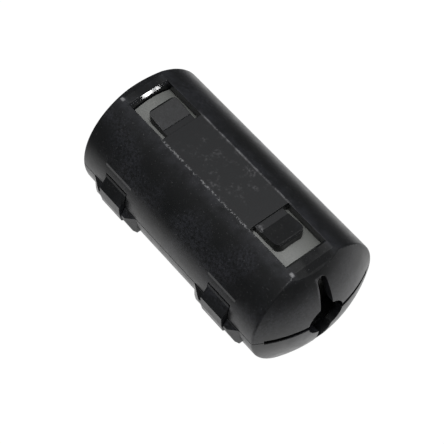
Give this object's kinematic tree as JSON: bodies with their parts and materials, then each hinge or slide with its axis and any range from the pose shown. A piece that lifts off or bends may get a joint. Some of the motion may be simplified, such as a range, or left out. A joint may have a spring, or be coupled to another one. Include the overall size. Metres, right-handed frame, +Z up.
{
  "type": "clip-on ferrite bead",
  "caption": "Round clip-on ferrite bead: a hinged black nylon case that snaps shut round a cable, with ferrite half cores inside and slotted domed ends that grip it.",
  "frame": {"origin": "middle of the cable passage, on its axis and on the parting plane of the shut case", "axes": "+X along the cable, +Z up through the flat strip of the upper shell, +Y towards the living hinge, so the latches are on -Y"},
  "size_m": [0.0382, 0.0199, 0.018],
  "materials": {
    "case_nylon": "moulded black nylon, satin gloss",
    "ferrite": "tumbled grey ceramic"
  },
  "bodies": {
    "lower": {"lower_shell": "case_nylon", "lower_ferrite": "ferrite", "living_hinge": "case_nylon"},
    "upper": {"upper_shell": "case_nylon", "upper_ferrite": "ferrite"},
    "near_latch": {"near_latch_arm": "case_nylon"},
    "far_latch": {"far_latch_arm": "case_nylon"}
  },
  "joints": [
    {"name": "case_hinge", "type": "hinge", "parent": "lower", "child": "upper", "pos_m": [0, 0.00945, 0], "axis": [-1, 0, 0], "range_deg": [0, 180], "deforming": ["living_hinge"]},
    {"name": "near_latch_flex", "type": "hinge", "parent": "lower", "child": "near_latch", "pos_m": [0.01, -0.00955, -0.00215], "axis": [1, 0, 0], "range_deg": [0, 10], "stiffness_Nm_per_rad": 0.15},
    {"name": "far_latch_flex", "type": "hinge", "parent": "lower", "child": "far_latch", "pos_m": [-0.01, -0.00955, -0.00215], "axis": [1, 0, 0], "range_deg": [0, 10], "stiffness_Nm_per_rad": 0.15}
  ]
}
